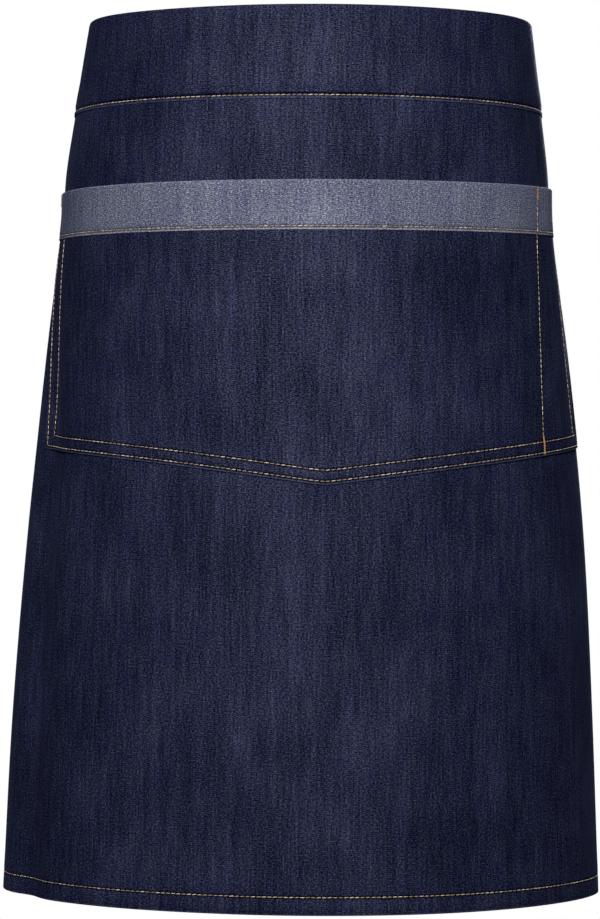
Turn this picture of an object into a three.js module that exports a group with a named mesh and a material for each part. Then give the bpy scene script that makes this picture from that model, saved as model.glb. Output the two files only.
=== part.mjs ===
// A denim waist apron as it is worn: a rectangular skirt gathered flat into a
// folded waistband, one wide front pocket with a shallow V bottom and a
// light-side-out band along its mouth, and two ties knotted behind.
// Millimetres, +Z up. The origin is the middle of the waist at mid-height of
// the waistband, the front faces -Y and the wearer's left is +X.
//
// Every cloth piece is laid on one hollow form, the shape that the wearer's
// body gives the cloth. A place on it has three coordinates:
//   arc   distance round the form from the cloth's centre line
//   down  distance below the apron's top edge
//   lift  distance outwards from the form

import * as THREE from 'three';
import { RoundedBoxGeometry } from 'three/addons/geometries/RoundedBoxGeometry.js';
import { mergeVertices } from 'three/addons/utils/BufferGeometryUtils.js';

// The cloth.
const CLOTH = 1; // one layer of denim
const HEM_CLOTH = 2; // where an edge is turned under
const GAP = 0.3; // between two pieces that are sewn together

// The skirt.
const APRON_LENGTH = 499; // top edge of the waistband to the hem
const APRON_WIDTH = 656; // side edge to side edge, along the cloth
const HEM_FOLD = 11.5; // height of the turned hem
const SIDE_FOLD = 11.5; // width of the turned side edges
const SKIRT_TUCK = 11; // what the waistband takes in of the skirt

// The waistband.
const WAISTBAND_HEIGHT = 51;
const WAISTBAND_CLOTH = 2.6; // folded, with the seam allowances inside

// The pocket.
const POCKET_WIDTH = 384;
const POCKET_TOP = 97; // below the top edge
const POCKET_DEPTH = 168; // mouth to the point of the V
const POCKET_V_DROP = 21.3; // how far the point hangs below the corners
const POCKET_FOLD = 8; // width of the turned edge
const POCKET_TILT = 1.1; // each end is out of level, the wearer's left up
const DIVIDER_ARC = 143; // seam that parts off the pen pocket
const POCKET_SLACK = 9.5; // how far the wide mouth stands off the skirt
const PEN_SLACK = 1; // the pen pocket's mouth lies nearly flat
const MOUTH_BAND_HEIGHT = 27;

// The ties.
const TIE_WIDTH = 28;
const TIE_CLOTH = 2.4;
const TIE_LAP = 24; // sewn onto the waistband's end
const TAIL_LENGTH = 230;
const TAIL_PINCH = 14; // width of a tail where it leaves the knot
const TAIL_SPREAD = 26; // from the middle to the foot of each tail
const KNOT_WIDTH = 32;
const KNOT_HEIGHT = 32;
const KNOT_DEPTH = 15;
const KNOT_ROUND = 6;

// The form under the cloth, at the hem.
const FORM_HALF_WIDTH = 172;
const FORM_FRONT_DEPTH = 103;
const FORM_BACK_DEPTH = 129;
const FORM_LEAN = -6; // the hem hangs to the wearer's right of the waist
const WRAP_SHIFT = 10; // the cloth's centre line sits to the wearer's left
const HEM_TILT = 1.4; // the hem hangs lower at the wearer's left side
const FOLD_DEPTH = 5; // the deepest soft fold at the hem

// Sections of the form from the top edge to the hem, as shares of
// APRON_LENGTH and of the four hem sizes above.
const FORM_SECTIONS = [
  { down: 0.0, halfWidth: 0.737, front: 0.917, back: 0.82, lean: 0.0 },
  { down: 0.1, halfWidth: 0.777, front: 0.9, back: 0.86, lean: 0.27 },
  { down: 0.175, halfWidth: 0.8, front: 0.897, back: 0.9, lean: 0.38 },
  { down: 0.225, halfWidth: 0.808, front: 0.91, back: 0.93, lean: 0.4 },
  { down: 0.315, halfWidth: 0.84, front: 0.965, back: 0.96, lean: 0.45 },
  { down: 0.485, halfWidth: 0.893, front: 1.06, back: 0.99, lean: 0.5 },
  { down: 0.6, halfWidth: 0.932, front: 1.05, back: 1.0, lean: 0.6 },
  { down: 0.8, halfWidth: 0.974, front: 1.02, back: 1.0, lean: 0.82 },
  { down: 1.0, halfWidth: 1.0, front: 1.0, back: 1.0, lean: 1.0 },
];

// Soft upright folds that open towards the hem. Place and spread are shares
// of half the apron's width, depth of FOLD_DEPTH, start of APRON_LENGTH.
const SOFT_FOLDS = [
  { place: -0.97, spread: 0.1, depth: 0.9, start: 0.15 },
  { place: -0.8, spread: 0.09, depth: -0.8, start: 0.3 },
  { place: -0.22, spread: 0.13, depth: -0.2, start: 0.55 },
  { place: 0.2, spread: 0.15, depth: 0.25, start: 0.5 },
  { place: 0.82, spread: 0.09, depth: -0.8, start: 0.3 },
  { place: 0.97, spread: 0.1, depth: 0.8, start: 0.15 },
];

const ARC_STEP = 11; // longest side of a facet round the form
const DOWN_STEP = 46; // longest side of a facet down the form

const HALF_WIDTH = APRON_WIDTH / 2;
const HALF_POCKET = POCKET_WIDTH / 2;

// The form.

const sectionCurve = new THREE.CubicInterpolant(
  FORM_SECTIONS.map((row) => row.down),
  FORM_SECTIONS.flatMap((row) => [row.halfWidth, row.front, row.back, row.lean]),
  4,
);

function smooth(from, to, value) {
  return THREE.MathUtils.smoothstep(value, from, to);
}

// The two half ellipses of one section, with arc length against angle.
const sectionCache = new Map();
function sectionAt(down) {
  const share = THREE.MathUtils.clamp(down / APRON_LENGTH, 0, 1);
  if (sectionCache.has(share)) return sectionCache.get(share);
  const [halfWidth, front, back, lean] = sectionCurve.evaluate(share);
  const section = {
    halfWidth: halfWidth * FORM_HALF_WIDTH,
    front: front * FORM_FRONT_DEPTH,
    back: back * FORM_BACK_DEPTH,
    lean: lean * FORM_LEAN,
    arcs: [0],
  };
  const steps = 360;
  let last = ellipsePoint(section, 0);
  for (let i = 1; i <= steps; i += 1) {
    const next = ellipsePoint(section, (Math.PI * i) / steps);
    section.arcs.push(section.arcs[i - 1] + next.distanceTo(last));
    last = next;
  }
  section.half = section.arcs[steps];
  sectionCache.set(share, section);
  return section;
}

function depthAt(section, angle) {
  return Math.cos(angle) > 0 ? section.front : section.back;
}

function ellipsePoint(section, angle) {
  const x = section.halfWidth * Math.sin(angle);
  return new THREE.Vector2(x, -depthAt(section, angle) * Math.cos(angle));
}

function angleAtArc(section, arc) {
  const { arcs, half } = section;
  const wrapped = THREE.MathUtils.euclideanModulo(arc + half, 2 * half) - half;
  const target = Math.abs(wrapped);
  const steps = arcs.length - 1;
  let low = 0;
  let high = steps;
  while (high - low > 1) {
    const middle = (low + high) >> 1;
    if (arcs[middle] > target) high = middle;
    else low = middle;
  }
  const share = (target - arcs[low]) / (arcs[high] - arcs[low]);
  return Math.sign(wrapped) * (low + share) * (Math.PI / steps);
}

function foldLift(arc, down) {
  let lift = 0;
  for (const fold of SOFT_FOLDS) {
    const offset = (arc / HALF_WIDTH - fold.place) / fold.spread;
    const growth = smooth(fold.start, 1, down / APRON_LENGTH);
    lift += FOLD_DEPTH * fold.depth * growth * Math.exp(-offset * offset);
  }
  return lift;
}

// Cloth that slants outwards reaches less far down.
function flareRise(section, angle, down) {
  const top = ellipsePoint(sectionAt(0), angle);
  const flare = ellipsePoint(section, angle).distanceTo(top);
  return (flare * flare) / (2 * Math.max(down, 1));
}

function onForm({ arc, down, lift }) {
  const section = sectionAt(down);
  const angle = angleAtArc(section, arc + WRAP_SHIFT);
  const point = ellipsePoint(section, angle);
  const normal = new THREE.Vector2(
    depthAt(section, angle) * Math.sin(angle),
    -section.halfWidth * Math.cos(angle),
  ).normalize();
  point.addScaledVector(normal, lift + foldLift(arc, down));
  const tilt = HEM_TILT * (down / APRON_LENGTH) * Math.sin(angle);
  return new THREE.Vector3(
    point.x + section.lean,
    point.y,
    WAISTBAND_HEIGHT / 2 - down - tilt + flareRise(section, angle, down),
  );
}

// Solids laid on the form.

function evenSteps(from, to, longest) {
  const count = Math.max(1, Math.ceil(Math.abs(to - from) / longest - 1e-6));
  return Array.from({ length: count }, (_, i) => from + ((to - from) * (i + 1)) / count);
}

function stepsThrough(stops, longest) {
  const steps = [stops[0]];
  for (let i = 1; i < stops.length; i += 1) {
    steps.push(...evenSteps(stops[i - 1], stops[i], longest));
  }
  return steps;
}

// Arcs that every cloth piece shares, so that sewn layers have the same facets.
const SEAM_ARCS = [
  HALF_WIDTH,
  HALF_WIDTH - SIDE_FOLD,
  HALF_WIDTH - SIDE_FOLD - 2,
  HALF_POCKET,
  HALF_POCKET - POCKET_FOLD,
  HALF_POCKET - POCKET_FOLD - 2,
  DIVIDER_ARC,
];
const ALL_ARCS = stepsThrough(
  [...SEAM_ARCS.map((arc) => -arc), 0, ...SEAM_ARCS].sort((a, b) => a - b),
  ARC_STEP,
);

function arcsBetween(from, to) {
  const inside = ALL_ARCS.filter((arc) => arc > from + 0.5 && arc < to - 0.5);
  return [from, ...inside, to];
}

// A closed solid swept through stations: loopAt gives the same number of
// places round the section at each one, and flat picks the two coordinates
// in which the end sections lie.
function sweptSolid(stations, loopAt, flat) {
  const loops = stations.map(loopAt);
  const size = loops[0].length;
  const positions = loops.flat().flatMap((place) => onForm(place).toArray());
  const indices = [];
  for (let i = 1; i < loops.length; i += 1) {
    for (let j = 0; j < size; j += 1) {
      const k = (j + 1) % size;
      const [a, b] = [(i - 1) * size + j, (i - 1) * size + k];
      const [c, d] = [i * size + k, i * size + j];
      indices.push(a, b, c, a, c, d);
    }
  }
  const capOf = (loop) => {
    const outline = loop.map((place) => new THREE.Vector2(...flat(place)));
    return THREE.ShapeUtils.triangulateShape(outline, []);
  };
  const turnsLeft = !THREE.ShapeUtils.isClockWise(
    loops[0].map((place) => new THREE.Vector2(...flat(place))),
  );
  const firstCap = capOf(loops[0]);
  const lastCap = capOf(loops[loops.length - 1]);
  const end = (loops.length - 1) * size;
  for (const [a, b, c] of firstCap) {
    if (turnsLeft) indices.push(a, c, b);
    else indices.push(a, b, c);
  }
  for (const [a, b, c] of lastCap) {
    if (turnsLeft) indices.push(end + a, end + b, end + c);
    else indices.push(end + a, end + c, end + b);
  }
  return facingOut(positions, indices);
}

function facingOut(positions, indices) {
  const geometry = new THREE.BufferGeometry();
  geometry.setAttribute('position', new THREE.Float32BufferAttribute(positions, 3));
  geometry.setIndex(indices);
  const corners = [new THREE.Vector3(), new THREE.Vector3(), new THREE.Vector3()];
  let volume = 0;
  for (let i = 0; i < indices.length; i += 3) {
    corners.forEach((corner, k) => corner.fromArray(positions, indices[i + k] * 3));
    volume += corners[0].dot(corners[1].clone().cross(corners[2]));
  }
  if (volume < 0) {
    for (let i = 0; i < indices.length; i += 3) {
      [indices[i + 1], indices[i + 2]] = [indices[i + 2], indices[i + 1]];
    }
    geometry.setIndex(indices);
  }
  geometry.computeVertexNormals();
  return geometry;
}

const downAndLift = (place) => [place.down, place.lift];
const arcAndLift = (place) => [place.arc, place.lift];

// The pieces.

// The skirt: one layer with a turned hem and turned side edges, whose upper
// edge runs up inside the waistband.
function skirtPanel() {
  const top = WAISTBAND_HEIGHT - SKIRT_TUCK;
  const underPocket = POCKET_TOP + POCKET_DEPTH;
  const rows = stepsThrough(
    [top, WAISTBAND_HEIGHT + 2, WAISTBAND_HEIGHT + 5, underPocket],
    DOWN_STEP / 2,
  );
  const hem = [APRON_LENGTH - HEM_FOLD - 2, APRON_LENGTH - HEM_FOLD, APRON_LENGTH];
  rows.push(...stepsThrough([underPocket, ...hem], DOWN_STEP).slice(1));
  const turned = (arc, down) => {
    const side = smooth(HALF_WIDTH - SIDE_FOLD - 2, HALF_WIDTH - SIDE_FOLD, Math.abs(arc));
    const below = smooth(WAISTBAND_HEIGHT + 2, WAISTBAND_HEIGHT + 5, down);
    const low = smooth(hem[0], hem[1], down);
    return Math.max(side * below, low) * (HEM_CLOTH - CLOTH);
  };
  const loopAt = (arc) => [
    ...rows.map((down) => ({ arc, down, lift: CLOTH })),
    ...rows.toReversed().map((down) => ({ arc, down, lift: -turned(arc, down) })),
  ];
  return sweptSolid(arcsBetween(-HALF_WIDTH, HALF_WIDTH), loopAt, downAndLift);
}

// The waistband: a strip folded over the top, whose two leaves hold the
// skirt's upper edge between them.
const LEAF_OUT = CLOTH + GAP + CLOTH; // outer face at its lower edge
function waistbandLoop(arc) {
  const height = WAISTBAND_HEIGHT;
  const slot = height - SKIRT_TUCK - GAP;
  const middle = CLOTH / 2;
  const front = middle + WAISTBAND_CLOTH / 2;
  const back = middle - WAISTBAND_CLOTH / 2;
  const profile = [
    [height, LEAF_OUT],
    [slot, LEAF_OUT],
    [slot / 2, front],
    [1.2, front],
    [0, middle + WAISTBAND_CLOTH / 5],
    [0, middle - WAISTBAND_CLOTH / 5],
    [1.2, back],
    [slot / 2, back],
    [slot, -GAP - CLOTH],
    [height, -GAP - CLOTH],
    [height, -GAP],
    [slot, -GAP],
    [slot, CLOTH + GAP],
    [height, CLOTH + GAP],
  ];
  return profile.map(([down, lift]) => ({ arc, down, lift }));
}

// The mouth and the V of the pocket, out of level by POCKET_TILT at each end.
function pocketMouth(arc) {
  return POCKET_TOP - POCKET_TILT * (arc / HALF_POCKET);
}

function pocketBottom(arc) {
  return pocketMouth(arc) + POCKET_DEPTH - POCKET_V_DROP * (Math.abs(arc) / HALF_POCKET);
}

// How far the pocket's cloth stands off the skirt between its seams.
function pocketSlack(arc, down) {
  const left = -HALF_POCKET + POCKET_FOLD;
  const right = HALF_POCKET - POCKET_FOLD;
  const wide = (arc - left) / (DIVIDER_ARC - left);
  const pen = (arc - DIVIDER_ARC) / (right - DIVIDER_ARC);
  const depth = (down - pocketMouth(arc)) / (POCKET_DEPTH - POCKET_V_DROP);
  const open = THREE.MathUtils.clamp(1 - depth, 0, 1);
  if (wide > 0 && wide < 1) return POCKET_SLACK * open * Math.sin(Math.PI * wide) ** 2;
  if (pen > 0 && pen < 1) return PEN_SLACK * open * Math.sin(Math.PI * pen) ** 2;
  return 0;
}

const POCKET_SEAT = CLOTH + GAP; // lift of the pocket's inner face on its seams
function pocketOuterLift(arc, down) {
  const edge = Math.min(HALF_POCKET - Math.abs(arc), pocketBottom(arc) - down);
  const turned = (HEM_CLOTH - CLOTH) * smooth(-POCKET_FOLD - 2, -POCKET_FOLD, -edge);
  return POCKET_SEAT + pocketSlack(arc, down) + CLOTH + turned;
}

// The pocket: one layer, turned under at its sides and along the V.
function pocketPanel() {
  const cornerDepth = POCKET_DEPTH - POCKET_V_DROP;
  const depths = stepsThrough(
    [CLOTH + GAP, MOUTH_BAND_HEIGHT, cornerDepth - POCKET_FOLD - 2],
    DOWN_STEP / 2,
  );
  const loopAt = (arc) => {
    const rows = depths.slice(0, -1).map((depth) => pocketMouth(arc) + depth);
    const bottom = pocketBottom(arc);
    rows.push(bottom - POCKET_FOLD - 2, bottom - POCKET_FOLD, bottom);
    return [
      ...rows.map((down) => ({ arc, down, lift: pocketOuterLift(arc, down) })),
      ...rows.toReversed().map((down) => ({
        arc,
        down,
        lift: POCKET_SEAT + pocketSlack(arc, down),
      })),
    ];
  };
  return sweptSolid(arcsBetween(-HALF_POCKET, HALF_POCKET), loopAt, downAndLift);
}

// The band along the mouth: denim with its light side out, on the pocket's
// face, folded over the mouth's edge.
function mouthBandLoop(arc) {
  const top = pocketMouth(arc);
  const lip = top + CLOTH;
  const bottom = top + MOUTH_BAND_HEIGHT;
  const seat = (down) => pocketOuterLift(arc, down) + GAP;
  const under = POCKET_SEAT + pocketSlack(arc, top);
  const rows = [bottom, (bottom + lip) / 2, lip];
  return [
    ...rows.map((down) => ({ arc, down, lift: seat(down) + CLOTH })),
    { arc, down: top, lift: seat(top) + CLOTH / 2 },
    { arc, down: top, lift: under + CLOTH / 2 },
    { arc, down: lip, lift: under },
    ...rows.toReversed().map((down) => ({ arc, down, lift: seat(down) })),
  ];
}

// The knot at the middle of the back opening, with the ties running into it.
const TIE_DOWN = WAISTBAND_HEIGHT / 2;
const BACK_ARC = sectionAt(TIE_DOWN).half;
const TIE_SEAT = LEAF_OUT + GAP;
const KNOT_LIFT = TIE_SEAT + KNOT_DEPTH / 2;

function strapLoop(width, thickness) {
  const [w, t] = [width / 2, thickness / 2];
  const round = thickness / 3;
  return [
    [-w, -t + round],
    [-w + round, -t],
    [w - round, -t],
    [w, -t + round],
    [w, t - round],
    [w - round, t],
    [-w + round, t],
    [-w, t - round],
  ];
}

function tieSolid(side) {
  const start = HALF_WIDTH - TIE_LAP;
  const end = BACK_ARC - KNOT_WIDTH / 2 - GAP;
  const stations = stepsThrough([start, HALF_WIDTH, end], ARC_STEP);
  const loopAt = (arc) => {
    const near = smooth(HALF_WIDTH, end, arc);
    const rise = near * (KNOT_LIFT - TIE_SEAT - TIE_CLOTH / 2);
    const width = THREE.MathUtils.lerp(TIE_WIDTH, KNOT_HEIGHT * 0.6, near);
    return strapLoop(width, TIE_CLOTH).map(([across, out]) => {
      const down = TIE_DOWN + across;
      const drift = near * (sectionAt(down).half - BACK_ARC);
      const lift = TIE_SEAT + TIE_CLOTH / 2 + rise + out;
      return { arc: side * (arc + drift), down, lift };
    });
  };
  return sweptSolid(stations, loopAt, downAndLift);
}

function tailSolid(side) {
  const start = TIE_DOWN + KNOT_HEIGHT / 2 + GAP;
  const stations = stepsThrough([start, start + 40, start + TAIL_LENGTH], ARC_STEP * 2);
  const loopAt = (down) => {
    const fallen = (down - start) / TAIL_LENGTH;
    const open = smooth(0, 40, down - start);
    const width = THREE.MathUtils.lerp(TAIL_PINCH, TIE_WIDTH, open);
    const pinched = TAIL_PINCH / 2 + GAP;
    const hung = THREE.MathUtils.lerp(TIE_WIDTH / 2 + GAP, TAIL_SPREAD, fallen);
    const middle = side * THREE.MathUtils.lerp(pinched, hung, open);
    const seat = TIE_SEAT + TIE_CLOTH / 2 + FOLD_DEPTH;
    const lift = THREE.MathUtils.lerp(KNOT_LIFT, seat, smooth(0, 60, down - start));
    return strapLoop(width, TIE_CLOTH).map(([across, out]) => ({
      arc: sectionAt(down).half + middle + across,
      down,
      lift: lift + out,
    }));
  };
  return sweptSolid(stations, loopAt, arcAndLift);
}

function knotMesh(material) {
  const geometry = mergeVertices(
    new RoundedBoxGeometry(KNOT_WIDTH, KNOT_HEIGHT, KNOT_DEPTH, 3, KNOT_ROUND),
  );
  const mesh = new THREE.Mesh(geometry, material);
  const centre = onForm({ arc: BACK_ARC, down: TIE_DOWN, lift: KNOT_LIFT });
  const inner = onForm({ arc: BACK_ARC, down: TIE_DOWN, lift: 0 });
  const outward = centre.clone().sub(inner).normalize();
  const across = new THREE.Vector3(0, 0, 1).cross(outward).normalize();
  const upright = outward.clone().cross(across);
  mesh.position.copy(centre);
  mesh.quaternion.setFromRotationMatrix(
    new THREE.Matrix4().makeBasis(across, upright, outward),
  );
  return mesh;
}

// The scene graph.

const denim = new THREE.MeshStandardMaterial({
  name: 'indigo_denim',
  color: 0x2b2d44,
  roughness: 0.85,
  metalness: 0,
});
const reversedDenim = new THREE.MeshStandardMaterial({
  name: 'reversed_denim',
  color: 0x6c6f84,
  roughness: 0.88,
  metalness: 0,
});

function named(name, geometry, material) {
  const mesh = new THREE.Mesh(geometry, material);
  mesh.name = name;
  return mesh;
}

const apron = new THREE.Group();
apron.name = 'waist_apron';

const cloth = new THREE.Group();
cloth.add(
  named('skirt_panel', skirtPanel(), denim),
  named(
    'waistband',
    sweptSolid(arcsBetween(-HALF_WIDTH, HALF_WIDTH), waistbandLoop, downAndLift),
    denim,
  ),
);

const pocket = new THREE.Group();
pocket.add(
  named('pocket_panel', pocketPanel(), denim),
  named(
    'pocket_mouth_band',
    sweptSolid(arcsBetween(-HALF_POCKET, HALF_POCKET), mouthBandLoop, downAndLift),
    reversedDenim,
  ),
);

const ties = new THREE.Group();
const knot = knotMesh(denim);
knot.name = 'tie_knot';
ties.add(
  named('left_tie', tieSolid(1), denim),
  named('right_tie', tieSolid(-1), denim),
  knot,
  named('left_tie_tail', tailSolid(-1), denim),
  named('right_tie_tail', tailSolid(1), denim),
);

apron.add(cloth, pocket, ties);

export default apron;
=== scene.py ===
import math
import random
from functools import lru_cache

import bmesh
import bpy
import numpy as np
from mathutils import Matrix, Vector, noise


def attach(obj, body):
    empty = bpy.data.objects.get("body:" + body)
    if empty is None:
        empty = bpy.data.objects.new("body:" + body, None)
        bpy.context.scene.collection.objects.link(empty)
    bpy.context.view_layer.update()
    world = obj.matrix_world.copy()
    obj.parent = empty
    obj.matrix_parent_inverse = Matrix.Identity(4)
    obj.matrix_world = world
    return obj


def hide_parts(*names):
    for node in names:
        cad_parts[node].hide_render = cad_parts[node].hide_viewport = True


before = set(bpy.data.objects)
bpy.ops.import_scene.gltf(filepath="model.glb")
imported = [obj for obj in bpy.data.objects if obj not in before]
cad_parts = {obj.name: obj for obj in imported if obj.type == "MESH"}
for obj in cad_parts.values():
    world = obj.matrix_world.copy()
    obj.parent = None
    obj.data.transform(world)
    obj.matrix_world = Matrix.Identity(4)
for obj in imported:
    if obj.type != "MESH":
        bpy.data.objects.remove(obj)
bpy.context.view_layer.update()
random.seed(7)

# The skirt: one rectangular panel of 11 oz indigo denim, dark side out. Its
# hem and side edges are turned under and topstitched, and its upper edge runs
# up inside the waistband. It hangs in the form that the hips give it.

MM = 0.001
CLOTH = 0.6 * MM
LENGTH = 499 * MM
HALF_WIDTH = 328 * MM
WAISTBAND = 51 * MM
HEM_FOLD = 11.5 * MM
SEAM_IN = 1.7 * MM  # a topstitch row lies this far from its edge
STITCH = 3.0 * MM
GROOVE = 1.2 * MM  # half the width of the groove along a stitch row

FORM_HALF_WIDTH = 172 * MM
FORM_FRONT = 103 * MM
FORM_BACK = 129 * MM
FORM_LEAN = -6 * MM
WRAP_SHIFT = 10 * MM
HEM_TILT = 1.4 * MM
FOLD_DEPTH = 5 * MM
TOP_RISE = 0.35 * MM  # of the top edge in the middle
SIDE_RISE = 2.2 * MM  # more at the sides, a little less on the wearer's left
SIDE_RISE_SKEW = 0.4 * MM

# Sections of the form: share of the length, then shares of the four sizes,
# then how pointed the front is: 1 is round, less is boxy, more is pointed.
FORM_ROWS = (
    # down, half width, front, back, lean, point
    (0.0, 0.739, 0.93, 0.82, 0.0, 0.95),
    (0.1, 0.781, 0.91, 0.86, 0.22, 0.95),
    (0.175, 0.809, 0.905, 0.9, 0.36, 0.98),
    (0.225, 0.815, 0.915, 0.93, 0.4, 1.0),
    (0.315, 0.85, 0.965, 0.96, 0.44, 1.08),
    (0.485, 0.905, 1.05, 0.99, 0.4, 1.15),
    (0.6, 0.936, 1.05, 1.0, 0.5, 1.15),
    (0.8, 0.973, 1.02, 1.0, 0.82, 1.12),
    (1.0, 0.999, 0.985, 1.0, 1.0, 1.1),
)
SOFT_FOLDS = (
    # place and spread of half the width, depth, start, full
    (-0.97, 0.1, 0.9, 0.15, 1),
    (-0.8, 0.09, -0.8, 0.3, 1),
    (-0.557, 0.04, -0.85, 0.22, 0.5),
    (-0.22, 0.13, -0.2, 0.55, 1),
    (0.2, 0.15, 0.25, 0.5, 1),
    (0.82, 0.09, -0.8, 0.3, 1),
    (0.97, 0.1, 0.8, 0.15, 1),
)
STEPS = 720
STEP_ANGLES = np.linspace(0, math.pi, STEPS + 1)


def form_row(share):
    """Half width, front, back, lean and point of the form at one height."""
    rows = FORM_ROWS
    i = max(k for k in range(len(rows) - 1) if rows[k][0] <= share or k == 0)
    span = rows[i + 1][0] - rows[i][0]
    p = (share - rows[i][0]) / span
    found = []
    for c in range(1, 6):
        secant = [
            (rows[k + 1][c] - rows[k][c]) / (rows[k + 1][0] - rows[k][0])
            for k in range(len(rows) - 1)
        ]
        slope = [secant[0]]
        slope += [(a + b) / 2 for a, b in zip(secant, secant[1:])]
        slope += [secant[-1]]
        a, b = rows[i][c], rows[i + 1][c]
        m, n = slope[i] * span, slope[i + 1] * span
        found.append(
            (2 * p**3 - 3 * p**2 + 1) * a
            + (p**3 - 2 * p**2 + p) * m
            + (3 * p**2 - 2 * p**3) * b
            + (p**3 - p**2) * n
        )
    sizes = (FORM_HALF_WIDTH, FORM_FRONT, FORM_BACK, FORM_LEAN, 1)
    return [share * size for share, size in zip(found, sizes)]


@lru_cache(maxsize=None)
def section(step):
    """A section of the form, step fifths of a millimetre below the top."""
    row = form_row(min(max(step * 0.2 * MM / LENGTH, 0), 1))
    half, front, back, lean, point = row
    angle = np.linspace(0, math.pi, STEPS + 1)
    cos = np.cos(angle)
    x = half * np.sin(angle)
    y = np.where(cos > 0, -front * np.abs(cos) ** point, -back * cos)
    arcs = np.concatenate([[0], np.cumsum(np.hypot(np.diff(x), np.diff(y)))])
    return row, arcs


def smooth(low, high, value):
    """0 at low, 1 at high and a soft step between."""
    p = min(max((value - low) / (high - low), 0), 1)
    return p * p * (3 - 2 * p)


def on_form(arc, down, lift):
    """The place at arc round from the cloth's centre, down and out."""
    (half, front, back, lean, point), arcs = section(round(down / (0.2 * MM)))
    whole = 2 * arcs[-1]
    around = (arc + WRAP_SHIFT + whole / 2) % whole - whole / 2
    angle = np.interp(abs(around), arcs, STEP_ANGLES)
    angle = math.copysign(angle, around)
    sin, cos = math.sin(angle), math.cos(angle)
    top_half, top_front, top_back, _, top_point = section(0)[0]
    if cos > 0:
        y, top_y = -front * cos**point, -top_front * cos**top_point
        normal = Vector((front * point * cos ** (point - 1) * sin, -half * cos))
    else:
        y, top_y = -back * cos, -top_back * cos
        normal = Vector((back * sin, -half * cos))
    normal.normalize()
    for place, spread, height, start, full in SOFT_FOLDS:
        off = (arc / HALF_WIDTH - place) / spread
        grown = smooth(start, full, down / LENGTH)
        lift += FOLD_DEPTH * height * grown * math.exp(-off * off)
    flare = math.hypot((half - top_half) * sin, y - top_y)
    rise = flare * flare / (2 * max(down, MM))
    at_top = 1 - smooth(0, 1, down / WAISTBAND)
    rise += at_top * (TOP_RISE + (SIDE_RISE - SIDE_RISE_SKEW * sin) * sin**4)
    return Vector(
        (
            half * sin + lean + normal.x * lift,
            y + normal.y * lift,
            WAISTBAND / 2 - down - HEM_TILT * down / LENGTH * sin + rise,
        )
    )


def unevenness(arc, down):
    """The slight waviness of worn cloth."""
    return 0.5 * MM * noise.noise(Vector((arc / 0.07, down / 0.16, 3.1)))


def spaced(stops, longest):
    """Values through all the stops, no further apart than longest."""
    values = [stops[0]]
    for a, b in zip(stops, stops[1:]):
        count = max(1, math.ceil(abs(b - a) / longest - 1e-6))
        values += [a + (b - a) * (i + 1) / count for i in range(count)]
    return values


def turned_edge(edge, width, lift, under, bend=4):
    """Rows of a turned edge from its outer face round to its inner face:
    (distance past the edge's start, lift, cloth length so far)."""
    radius = (lift - under) / 2
    rows = []
    for i in range(bend + 1):
        turn = math.pi * i / bend
        rows.append(
            (
                edge - radius + radius * math.sin(turn),
                (lift + under) / 2 + radius * math.cos(turn),
                edge - radius + radius * turn,
            )
        )
    length = rows[-1][2]
    for k in (0.5, 1.0):
        rows.append((edge - radius - width * k, under, length + width * k))
    return rows


def ends(column, row):
    return column[-1], row[-1]


def cut_cloth(name, columns, rows, place, seam, edge, flat_place=ends):
    """A cut piece of cloth as a grid, laid out by place(column, row).

    flat_place gives the point on the flat cloth, the UV map in metres: as a
    rule the last values of the column and the row. seam and edge give the
    distance to the nearest stitch row and to the nearest finished edge.
    """
    mesh = bpy.data.meshes.new(name)
    bm = bmesh.new()
    across, along = len(columns) - 1, len(rows) - 1
    bmesh.ops.create_grid(bm, x_segments=across, y_segments=along, size=0.5)
    uv = bm.loops.layers.uv.new("cloth")
    to_seam = bm.verts.layers.float.new("to_seam")
    to_edge = bm.verts.layers.float.new("to_edge")
    flat = {}
    for vertex in bm.verts:
        column = columns[round((vertex.co.x + 0.5) * across)]
        row = rows[round((0.5 - vertex.co.y) * along)]
        flat[vertex] = flat_place(column, row)
        vertex.co = place(column, row)
        vertex[to_seam] = seam(column, row)
        vertex[to_edge] = edge(column, row)
    for face in bm.faces:
        face.smooth = True
        for loop in face.loops:
            loop[uv].uv = flat[loop.vert]
    bm.to_mesh(mesh)
    bm.free()
    piece = bpy.data.objects.new(name, mesh)
    bpy.context.collection.objects.link(piece)
    return piece


def give_thickness(piece, thickness=CLOTH):
    wall = piece.modifiers.new("cloth", "SOLIDIFY")
    wall.thickness = thickness
    wall.offset = 0
    wall.material_offset = 1
    wall.material_offset_rim = 0


def linear(code):
    """sRGB hex to linear RGBA."""
    channels = [int(code[i : i + 2], 16) / 255 for i in (1, 3, 5)]
    return [
        c / 12.92 if c <= 0.04045 else ((c + 0.055) / 1.055) ** 2.4 for c in channels
    ] + [1]


def add_node(tree, kind, settings=None, values=None, links=None):
    """Adds one node, with its settings, socket values and incoming links."""
    node = tree.nodes.new(kind)
    for key, value in (settings or {}).items():
        setattr(node, key, value)
    for key, value in (values or {}).items():
        node.inputs[key].default_value = value
    for key, source in (links or {}).items():
        tree.links.new(source, node.inputs[key])
    return node


def colour_ramp(tree, source, stops):
    ramp = add_node(tree, "ShaderNodeValToRGB", links={"Fac": source})
    elements = ramp.color_ramp.elements
    while len(elements) < len(stops):
        elements.new(0.5)
    for element, (position, code) in zip(elements, stops):
        element.position = position
        element.color = linear(code)
    return ramp


def maths(tree, operation, a, b=0.0):
    """A Math node; each input is a number or another node's output."""
    node = add_node(tree, "ShaderNodeMath", {"operation": operation})
    for socket, value in zip(node.inputs, (a, b)):
        if isinstance(value, (int, float)):
            socket.default_value = value
        else:
            tree.links.new(value, socket)
    return node.outputs["Value"]


# A Mix node's sockets for two colours and for their mixture.
COLOUR_A, COLOUR_B, COLOUR_OUT = 6, 7, 2

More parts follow.
